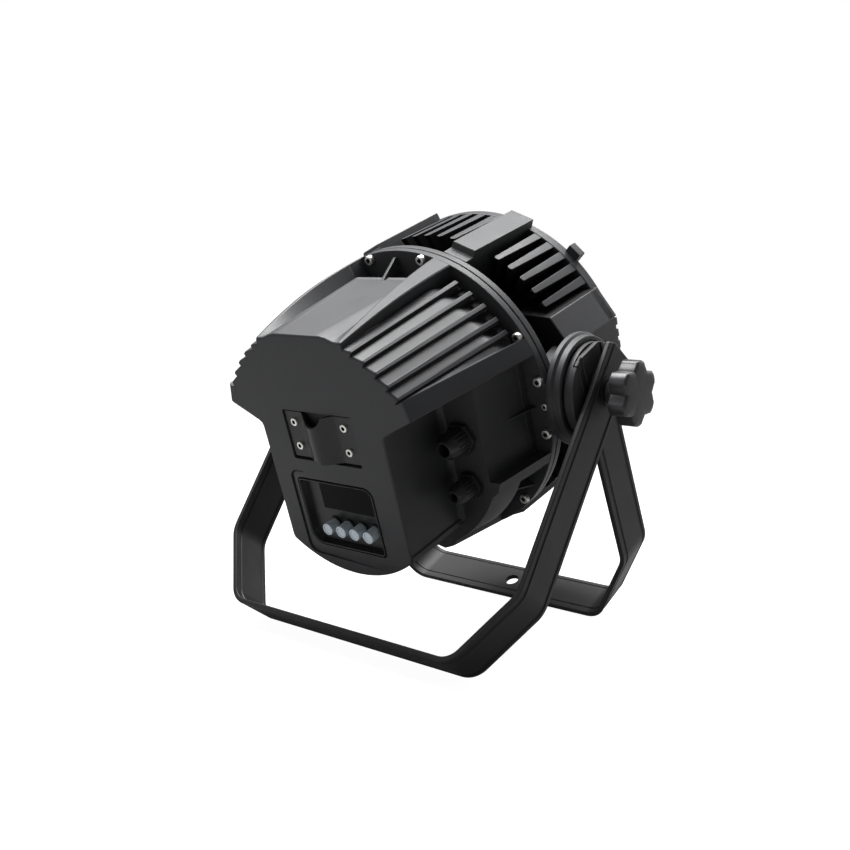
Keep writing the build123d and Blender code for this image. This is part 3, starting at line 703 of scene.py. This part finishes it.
for s in (1, -1):
    ch = [(80.0 * s, 62.0), (112.9 * s, 58.8), (127.5 * s, 34.5), (127.5 * s, -34.5), (112.9 * s, -58.8), (80.0 * s, -62.0)] + [(101.2 * s * cos(radians(a)), 101.2 * sin(radians(a))) for a in (-30, -20, -10, 0, 10, 20, 30)]
    prism(ch, -1.0, 69.2, XZ, 0.9, 3, 15, bm)
    for zz in (58.8, -58.8):
        e_ = 34.5 if zz > 0 else -34.5
        prism([(100.0 * s, zz), (112.9 * s, zz), (127.5 * s, e_), (100.0 * s, e_)], 60.0, 71.9, XZ, 0.7, 2, 15, bm)
    for i in range(7):
        zc = 30.0 - 10.0 * i
        prism([(100.0 * s, zc + 3.2), (127.4 * s, zc + 3.2), (127.4 * s, zc - 3.2), (100.0 * s, zc - 3.2)], 60.0, 71.9, XZ, 0.5, 2, 15, bm)
    pr = rounded([(0, s * 112.0), (35.6, s * 112.0), (35.6, s * 123.2, 0.8), (44.8, s * 126.6, 0.8), (44.8, s * 130.6, 0.8), (42.6, s * 132.2, 0.5), (42.2, s * 137.5, 1.0), (38.8, s * 137.5, 0.4), (38.3, s * 136.2, 0.3), (0, s * 136.2)], 0, 3)
    lathe(pr, 96, "x", bm=bm)


# painted shade: faces of the core, the fin roots and the cheek pockets take the darker void material
def painted_shade_face(f):
    c = f.calc_center_median()
    r = hypot(c.x, c.z)
    if c.y < 66 and r < 111.5 and abs(c.x) < 108 and -22.3 < c.y:
        return 1
    if -1.5 < c.y < 64 and 80 < abs(c.x) < 112.5 and 55 < abs(c.z) < 62.5:
        return 1
    return 0


front = finish_mesh(bm, "front_shell", [M["housing_black"], M["void_black"]], "head", ["front_housing"], angle=30, matfn=painted_shade_face)

# ------------------------------------------------------------------ screws
def cap_screw(bm, r, y0, y1, x, z, hexr, depth, turn=0.0, n=40):
    """Socket-head screw seen from behind: head from y1 (seat) to y0 (top), hexagon socket in the top."""
    t = bmesh.new()
    e = 0.16 * r
    prof = [(r, y1), (r, y0 + e), (r - 0.35 * e, y0 + 0.3 * e), (r - e, y0)]
    rings = []
    for rr, yy in prof:
        rings.append([t.verts.new((x + rr * sin(2 * pi * i / n), yy, z + rr * cos(2 * pi * i / n))) for i in range(n)])

    def hexp(i, rr):
        a = 2 * pi * i / n
        k = (degrees(a) + turn) % 60 - 30
        return rr * cos(radians(30)) / cos(radians(k))
    for rr, yy in ((hexr, y0), (hexr * 0.97, y0 + 0.25), (hexr * 0.97, y0 + depth)):
        rings.append([t.verts.new((x + hexp(i, rr) * sin(2 * pi * i / n), yy, z + hexp(i, rr) * cos(2 * pi * i / n))) for i in range(n)])
    for A, B in zip(rings, rings[1:]):
        for j in range(n):
            k = (j + 1) % n
            t.faces.new([A[j], A[k], B[k], B[j]])
    t.faces.new(rings[0]); t.faces.new(rings[-1][::-1])
    bmesh.ops.recalc_face_normals(t, faces=t.faces)
    t.normal_update()
    for f in t.faces:
        c = f.calc_center_median()
        # painted shade: faces down inside the hexagon socket take the dark socket material
        f.material_index = 1 if (hypot(c.x - x, c.z - z) < hexr * 1.02 and abs(c.y - y0) > 0.35) else 0
    merge(bm, t)


bm = bmesh.new()
for i, a in enumerate((13, 62, 80, 101, 135, 167)):
    for s in (1, -1):
        x, z = polar(120.4, s * a)
        cap_screw(bm, 3.9, -40.4, -36.2, x, z, 2.2, 2.4, turn=17 * i)
for s in (1, -1):
    x, z = polar(120.4, s * 90)
    cap_screw(bm, 2.9, -38.8, -36.2, x, z, 1.6, 1.6, turn=12)
finish_mesh(bm, "seam_screws", [M["stainless"], M["socket_dark"]], "head", ["housing_screws"], weighted=False)

# ------------------------------------------------------------------ safety cable bridge
bm = bmesh.new()
rows_ = []
NX = 72
for i in range(NX + 1):
    x = -35.0 + 70.0 * i / NX
    u = min(1.0, abs(x) / 19.0)
    hump = 0.5 * (1 + cos(pi * u)) if u < 1 else 0.0
    hump = hump ** 0.8
    yo = -158.7 - 9.6 * hump
    yi = yo + 2.9 if u >= 1 else min(-155.8, yo + 2.9)
    xn = abs(x + 3.0) / 11.5
    notch = 7.4 * (1 - xn ** 3) ** 0.75 if xn < 1 else 0.0
    zt = 36.6 - notch - (0.6 * hump)
    zb = -2.3 + (2.2 if -7.0 < x < 1.5 else 0.0) * hump
    e = 0.7
    rows_.append([(x, yo + e, zt), (x, yo + 0.2 * e, zt - 0.2 * e), (x, yo, zt - e), (x, yo, zb + e), (x, yo + 0.2 * e, zb + 0.2 * e), (x, yo + e, zb), (x, yi, zb), (x, yi, zt)])
loft(rows_, True, bm)
finish_mesh(bm, "cable_bridge", M["bridge_black"], "head", ["safety_bridge"], angle=40)
bm = bmesh.new()
for i, (x, z) in enumerate(((-26.2, 27.8), (26.2, 27.8), (-26.2, 7.7), (26.2, 7.7))):
    cap_screw(bm, 3.3, -160.4, -158.6, x, z, 1.9, 1.7, turn=21 * i)
finish_mesh(bm, "bridge_cap_screws", [M["stainless"], M["socket_dark"]], "head", ["bridge_screws"], weighted=False)

# ------------------------------------------------------------------ display panel
FR = lambda g: rounded([(-39.2 + g, -80.2 + g, max(0.6, 11.6 - g)), (39.2 - g, -80.2 + g, max(0.6, 3.8 - g)), (39.2 - g, -21.6 - g, max(0.6, 8.2 - g)), (-39.2 + g, -21.6 - g, max(0.6, 4.2 - g))], 0, 6)
bm = bmesh.new()
ringsec = [(0.0, -156.4), (0.0, -159.6), (0.25, -160.3), (0.8, -160.6), (1.5, -160.4), (1.8, -159.9), (2.0, -158.9), (3.6, -155.2)]
secs_ = [[(x, y, z) for x, z in FR(g)] for g, y in ringsec]
loft(secs_, False, bm)
# recessed face plate with the window opening
WIN = rounded([(-20.0, -47.5), (36.0, -47.5), (36.0, -24.5), (-20.0, -24.5)], 0.8, 3)
lp_ = [[Vector((x, z, 0)) for x, z in FR(3.6)], [Vector((x, z, 0)) for x, z in WIN]]
fl_ = [bm.verts.new((p.x, -155.2, p.y)) for l in lp_ for p in l]
for t3 in tessellate_polygon(lp_):
    try:
        bm.faces.new([fl_[i] for i in t3])
    except ValueError:
        pass
n1 = len(lp_[0]); wv = fl_[n1:]
wl = [bm.verts.new((x, -154.0, z)) for x, z in WIN]
for j in range(len(WIN)):
    k = (j + 1) % len(WIN)
    bm.faces.new([wv[j], wv[k], wl[k], wl[j]])
# collars round the buttons
for x in (-13.4, 0.9, 15.2, 29.5):
    lathe(rounded([(5.35, -155.3), (5.35, -156.6, 0.2), (6.4, -156.6, 0.3), (6.4, -155.3)], 0, 2), 40, "y", (x, -61.5), bm=bm)
finish_mesh(bm, "display_bezel", M["display_frame"], "head", ["display_frame"], angle=38)
bm = prism(WIN, -154.4, -153.2, XZ, 0.15, 1)
finish_mesh(bm, "display_glass", M["display_black"], "head", ["display_window"])

# ------------------------------------------------------------------ push buttons
for i, x in enumerate((-13.4, 0.9, 15.2, 29.5), 1):
    prof = rounded([(0, -165.4), (3.5, -165.4, 0.3), (3.8, -166.0, 0.3), (5.1, -166.0, 0.7), (5.15, -156.5, 0.0), (0, -156.5)], 0, 3)
    bm = lathe(prof, 48, "y", (x, -61.5))
    finish_mesh(bm, f"push_button_{i}", M["button_blue"], f"btn_{i}", [f"button_{i}"], angle=40)

# ------------------------------------------------------------------ cable glands
for side, s in (("right", 1), ("left", -1)):
    for size, gx, gz, af, cr, br in (("large", 81.0, -4.0, 24.0, 10.6, 5.2), ("small", 81.0, -43.5, 20.0, 8.6, 3.6)):
        x = s * gx
        hexa = [(x + af / sqrt(3) * cos(radians(60 * k)), gz + af / sqrt(3) * sin(radians(60 * k))) for k in range(6)]
        bm = bmesh.new()
        t = prism(hexa, -99.0, -94.0, XZ, 0.0)
        # edges of the hexagon rounded by a bevel
        round_edges(t, 0.7, 2, 25)
        merge(bm, t)
        lathe([(br, -94.0), (br + 0.4, -106.5), (cr - 2.2, -106.5), (cr - 2.2, -98.5), (cr + 0.6, -98.5), (cr + 0.6, -94.0)], 56, "y", (x, gz), bm=bm)
        lathe(rounded([(cr - 1, -94.8), (cr + 2.6, -94.8, 0.5), (cr + 2.6, -93.9), (cr - 1, -93.9)], 0, 2), 56, "y", (x, gz), bm=bm)
        finish_mesh(bm, f"gland_body_{size}_{side}", M["nylon_black"], "head", [f"gland_{size}_{side}"], angle=30)
        # cap: ribbed skirt, domed nose, rubber lip
        n = 144
        bm = bmesh.new()
        prof = [(1.0, -99.4, 0), (1.0, -99.9, 1), (1.0, -109.6, 1), (0.985, -110.4, 0.6), (0.955, -111.4, 0), (0.93, -112.0, 0), (0.86, -114.2, 0), (0.76, -116.2, 0), (0.68, -117.4, 0), (0.63, -117.9, 0)]
        rings = []
        for f, y, rib in prof:
            ring = []
            for i in range(n):
                a = 2 * pi * i / n
                w_ = (0.5 + 0.5 * cos(18 * a)) ** 3
                rr = cr * f - 0.55 * rib * w_
                ring.append(bm.verts.new((x + rr * sin(a), y, gz + rr * cos(a))))
            rings.append(ring)
        for rr, y in ((br + 0.35, -118.0), (br, -117.6), (br, -104.0), (cr - 2.0, -104.0), (cr - 2.0, -99.4)):
            rings.append([bm.verts.new((x + rr * sin(2 * pi * i / n), y, gz + rr * cos(2 * pi * i / n))) for i in range(n)])
        rings.append(rings[0])
        for A, B in zip(rings, rings[1:]):
            for j in range(n):
                k = (j + 1) % n
                bm.faces.new([A[j], A[k], B[k], B[j]])
        bmesh.ops.recalc_face_normals(bm, faces=bm.faces)

        def gl_mat(f, x=x, gz=gz, br=br):
            c = f.calc_center_median()
            return 1 if hypot(c.x - x, c.z - gz) < br + 0.3 else 0
        finish_mesh(bm, f"gland_nut_{size}_{side}", [M["nylon_black"], M["rubber_black"]], "head", [f"gland_cap_{size}_{side}"], angle=35, matfn=gl_mat)

# ------------------------------------------------------------------ clamp knobs
def lobe_r(a):
    k = (degrees(a) + 360) % 60 - 30
    d = abs(radians(k))
    # broad flat lobes with short scallops between them, scallop centres half-way
    lobe = 24.9 - 5.2 * (d / radians(30)) ** 2
    sc = radians(30) - d
    rs, ds = 9.5, 31.9
    q = ds * sin(sc)
    scal = ds * cos(sc) - sqrt(rs * rs - q * q) if q < rs else 99.0
    m = 9.0
    return (lobe ** -m + scal ** -m) ** (-1 / m) + 0.55


NK = 180
for side, s in (("right", 1), ("left", -1)):
    bm = bmesh.new()
    def kring(x, off, mult=1.0, f=lobe_r):
        return [(s * x, (f(2 * pi * i / NK) - off) * mult * cos(2 * pi * i / NK), (f(2 * pi * i / NK) - off) * mult * sin(2 * pi * i / NK)) for i in range(NK)]
    circ = lambda r: (lambda a: r)
    secs_ = [kring(156.8, 0, 1, circ(9.0)), kring(157.2, 0, 1, circ(9.5)), kring(165.2, 0, 1, circ(9.5)), kring(166.6, 0, 1, circ(10.6)), kring(167.3, 0, 1, circ(13.5))]
    secs_ += [kring(167.4, 1.6), kring(167.7, 0.8), kring(168.3, 0.2), kring(169.0, 0.0), kring(180.6, 0.0), kring(181.4, 0.15), kring(182.0, 0.6), kring(182.4, 1.3), kring(182.6, 2.2)]
    secs_ += [kring(182.8, 2.2, 0.86), kring(182.95, 2.2, 0.66), kring(183.1, 2.2, 0.40), kring(183.18, 2.2, 0.14)]
    loft(secs_, True, bm)
    finish_mesh(bm, f"clamp_knob_{side}", M["knob_grey"], f"knob_{side[0]}", [f"knob_{side}"], M4=AXIS, angle=38, weighted=False)
    NODES[f"knob_washer_{side}"].data.materials.clear()
    NODES[f"knob_washer_{side}"].data.materials.append(M["bridge_black"])
    # friction disc with the seat of the inner arm cut across its thick rim
    bm = bmesh.new()
    la = radians(26.7)
    n = 120
    t = lathe(rounded([(5.1, s * 138.2), (37.6, s * 138.2, 0.4), (37.6, s * 146.2, 1.0), (5.1, s * 146.2)], 0, 3), n, "x")
    o = finish_mesh(t, f"friction_disc_{side}", M["housing_black"], "front_leg", [f"pivot_disc_{side}"], M4=AXIS, angle=30)
    cb = prism([(-20.4, -60), (20.4, -60), (20.4, 60), (-20.4, 60)], s * 142.2, s * 160, YZ, 0)
    cut_with(o, [(cb, AXIS @ Matrix.Rotation(la, 4, "X"))])

# ------------------------------------------------------------------ front ring, clips and screws
bm = lathe(rounded([(98.0, 72.1), (124.8, 72.1, 0.4), (124.8, 74.6, 0.6), (121.6, 79.9, 1.0), (112.0, 79.9, 0.3), (110.6, 78.9, 0.4), (100.6, 78.9, 0.5), (98.0, 76.0, 0.8)], 0, 4), 216)
o = finish_mesh(bm, "bezel_ring", M["housing_black"], "head", ["front_bezel"], angle=25)
cbs = []
for i in range(8):
    x, z = polar(115.6, 22.5 + 45 * i)
    cbs.append((lathe([(0, 77.4), (3.9, 77.4), (3.9, 82), (0, 82)], 32, "y", (x, z)), HEAD))
cut_with(o, cbs, angle=25)
bm = bmesh.new()
for i in range(8):
    x, z = polar(115.6, 22.5 + 45 * i)
    t = bmesh.new()
    cap_screw(t, 3.3, -79.7, -77.3, -x, z, 1.7, 1.5, turn=13 * i)
    merge(bm, t, Matrix.Rotation(pi, 4, "Z"))
finish_mesh(bm, "bezel_cap_screws", [M["stainless"], M["socket_dark"]], "head", ["bezel_screws"], weighted=False)
bm = bmesh.new()
for a in (47, 133, 227, 313):
    t = prism([(73.0, 119.0), (82.4, 119.0), (82.4, 129.6), (80.8, 131.2), (73.0, 131.2)], -6.2, 6.2, lambda y, r, w_: (w_, y, r), 0.6, 2, 20)
    merge(bm, t, rot_y(a))
    t = prism([(80.6, 112.0), (82.4, 112.0), (82.4, 121.0), (80.6, 121.0)], -4.2, 4.2, lambda y, r, w_: (w_, y, r), 0.4, 2, 20)
    merge(bm, t, rot_y(a))
finish_mesh(bm, "filter_clips", M["housing_black"], "head", ["accessory_clips"])

# ------------------------------------------------------------------ optics behind the glass
LX = [polar(37.0, 60 * i + 30) for i in range(6)] + [polar(76.0, 30 * i + 15) for i in range(12)]
bm = bmesh.new()
for x, z in LX:
    # collimator: cupped cone with a face and a rim
    pr = [(0, 52.0), (2.2, 50.5), (3.2, 47.2), (5.6, 44.4), (7.2, 44.8), (9.6, 48.2), (12.0, 52.4), (14.2, 56.9), (15.3, 56.9), (15.3, 59.6), (14.6, 60.3), (13.2, 60.3), (12.9, 59.6), (0, 60.9)]
    lathe(pr, 48, "y", (x, z), bm=bm)
finish_mesh(bm, "collimator_lenses", M["lens_clear"], "head", ["lenses"], angle=50, weighted=False)
lp_ = [[Vector((x, z, 0)) for x, z in [polar(97.5, -360 * i / 96) for i in range(96)]]]
for cx, cz in LX:
    lp_.append([Vector((cx + 15.6 * sin(2 * pi * i / 36), cz + 15.6 * cos(2 * pi * i / 36), 0)) for i in range(36)])
tri = tessellate_polygon(lp_)
bm = bmesh.new()
fa = [bm.verts.new((p.x, 58.9, p.y)) for l in lp_ for p in l]
fb = [bm.verts.new((p.x, 56.1, p.y)) for l in lp_ for p in l]
for t3 in tri:
    try:
        bm.faces.new([fa[i] for i in t3]); bm.faces.new([fb[i] for i in t3][::-1])
    except ValueError:
        pass
o0 = 0
for l in lp_:
    c = len(l)
    for j in range(c):
        k = (j + 1) % c
        bm.faces.new([fa[o0 + j], fa[o0 + k], fb[o0 + k], fb[o0 + j]])
    o0 += c
for cx, cz in LX:
    lathe(rounded([(15.7, 58.7), (17.0, 58.7), (17.0, 59.9, 0.4), (15.7, 59.9, 0.4)], 0, 2), 48, "y", (cx, cz), bm=bm)
finish_mesh(bm, "lens_holder_plate", M["plate_black"], "head", ["lens_plate"], angle=30)

# ------------------------------------------------------------------ stage, light, camera
az, el, roll = radians(39.656), radians(7.37), radians(1.005)
fwd = Vector((-sin(az) * cos(el), cos(az) * cos(el), -sin(el)))
right = Vector((cos(az), sin(az), 0))
up = right.cross(fwd)
r2 = right * cos(roll) + up * sin(roll)
u2 = -right * sin(roll) + up * cos(roll)
cpos = (Vector((0, YS, H)) - 22.369 * r2 - 40.954 * u2 - 938.313 * fwd) * MM
cam_d = bpy.data.cameras.new("camera")
cam_d.lens, cam_d.sensor_width = 46.157, 36.0
cam_d.clip_start, cam_d.clip_end = 0.05, 100
cam = bpy.data.objects.new("camera", cam_d)
bpy.context.scene.collection.objects.link(cam)
cam.matrix_world = Matrix(((r2.x, u2.x, -fwd.x, cpos.x), (r2.y, u2.y, -fwd.y, cpos.y), (r2.z, u2.z, -fwd.z, cpos.z), (0, 0, 0, 1)))
bpy.context.scene.camera = cam
bpy.context.scene.view_settings.view_transform = "Standard"

bm = bmesh.new()
bmesh.ops.create_grid(bm, x_segments=4, y_segments=4, size=30)
me = bpy.data.meshes.new("floor"); bm.to_mesh(me); bm.free()
floor = bpy.data.objects.new("floor", me)
bpy.context.scene.collection.objects.link(floor)
fm = pbr("floor_pale", (0.30, 0.30, 0.30), 0.42, spec=0.35, grain=30, bump=0.0, var=0.01, rvar=0.03, blotch=2)
nt = fm.node_tree
b = next(n for n in nt.nodes if n.type == "BSDF_PRINCIPLED")
b.inputs["Emission Color"].default_value = (1, 1, 1, 1)
fp_ = nt.nodes.new("ShaderNodeLightPath")
fq_ = nt.nodes.new("ShaderNodeMath")
fq_.operation = "MULTIPLY_ADD"
fq_.inputs[1].default_value = 0.90
fq_.inputs[2].default_value = 0.06
nt.links.new(fp_.outputs["Is Camera Ray"], fq_.inputs[0])
nt.links.new(fq_.outputs[0], b.inputs["Emission Strength"])
me.materials.append(fm)
floor.location = (0, 0, -0.0004)

w = bpy.data.worlds.new("studio")
bpy.context.scene.world = w
w.use_nodes = True
nt = w.node_tree
nt.nodes.clear()
N, L = nt.nodes.new, nt.links.new
out = N("ShaderNodeOutputWorld")
lp = N("ShaderNodeLightPath")
mx = N("ShaderNodeMixShader")
bg_l = N("ShaderNodeBackground"); bg_c = N("ShaderNodeBackground")
bg_c.inputs[0].default_value = (1, 1, 1, 1); bg_c.inputs[1].default_value = 1.0
bg_l.inputs[0].default_value = (1, 1, 1, 1); bg_l.inputs[1].default_value = 0.14
L(lp.outputs["Is Camera Ray"], mx.inputs[0])
L(bg_l.outputs[0], mx.inputs[1]); L(bg_c.outputs[0], mx.inputs[2])
L(mx.outputs[0], out.inputs[0])


def area(name, pos, target, size, power, size_y=None, col=(1, 1, 1)):
    d = bpy.data.lights.new(name, "AREA")
    d.energy = power; d.shape = "RECTANGLE"; d.size = size; d.size_y = size_y or size
    d.color = col
    o = bpy.data.objects.new(name, d)
    bpy.context.scene.collection.objects.link(o)
    o.location = pos
    o.rotation_euler = (Vector(target) - Vector(pos)).to_track_quat("-Z", "Y").to_euler()
    return o


area("key_top", (-0.58, -0.10, 1.75), (0, 0, 0.2), 1.0, 58)
area("left_rear", (-0.9, -1.9, 0.75), (0, 0, 0.2), 0.9, 3)
area("top_front", (0.05, 0.80, 1.8), (0, 0, 0.25), 0.8, 30)
area("front_fill", (0.6, 1.9, 0.9), (0, 0, 0.2), 1.2, 10)
